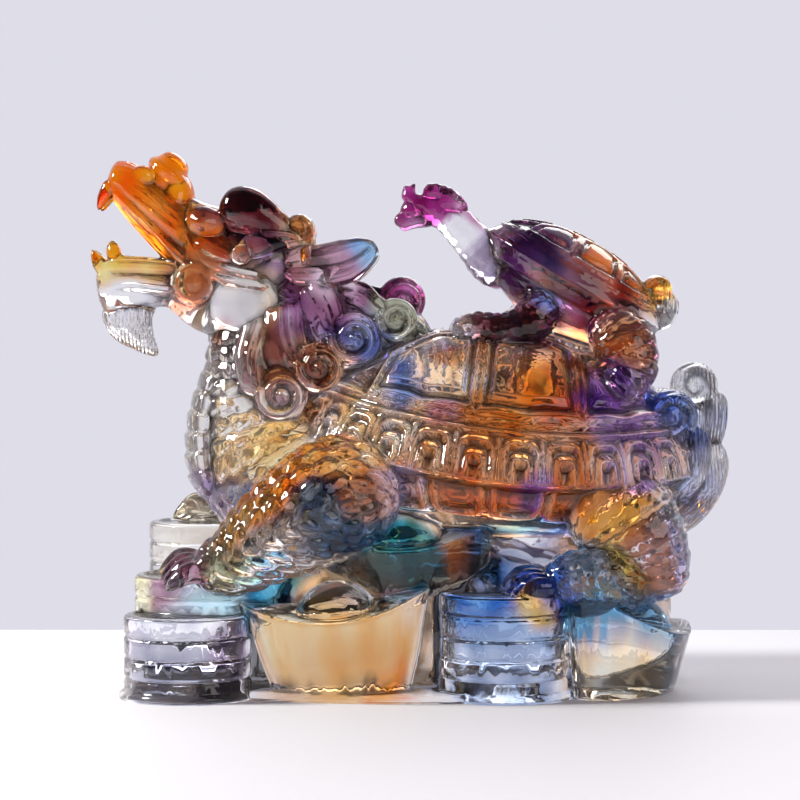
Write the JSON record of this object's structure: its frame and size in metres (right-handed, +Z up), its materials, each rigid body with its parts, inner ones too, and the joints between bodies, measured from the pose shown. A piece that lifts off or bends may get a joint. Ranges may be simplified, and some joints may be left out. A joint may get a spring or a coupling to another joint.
{
  "type": "dragon turtle figurine",
  "caption": "Cast glass figure of a dragon turtle carrying its young, standing on coin stacks and boat-shaped ingots, with a flat underside for a shelf or desk.",
  "frame": {"origin": "on the flat underside, below the middle of the figure's length and width", "axes": "+X from the snout towards the tail, +Z up, -Y towards the side with the lower front foot, which is the side the picture shows"},
  "size_m": [0.2122, 0.1187, 0.1766],
  "materials": {
    "glass": "polished"
  },
  "bodies": {
    "root": {"dragon_turtle_casting": "glass"}
  },
  "joints": []
}
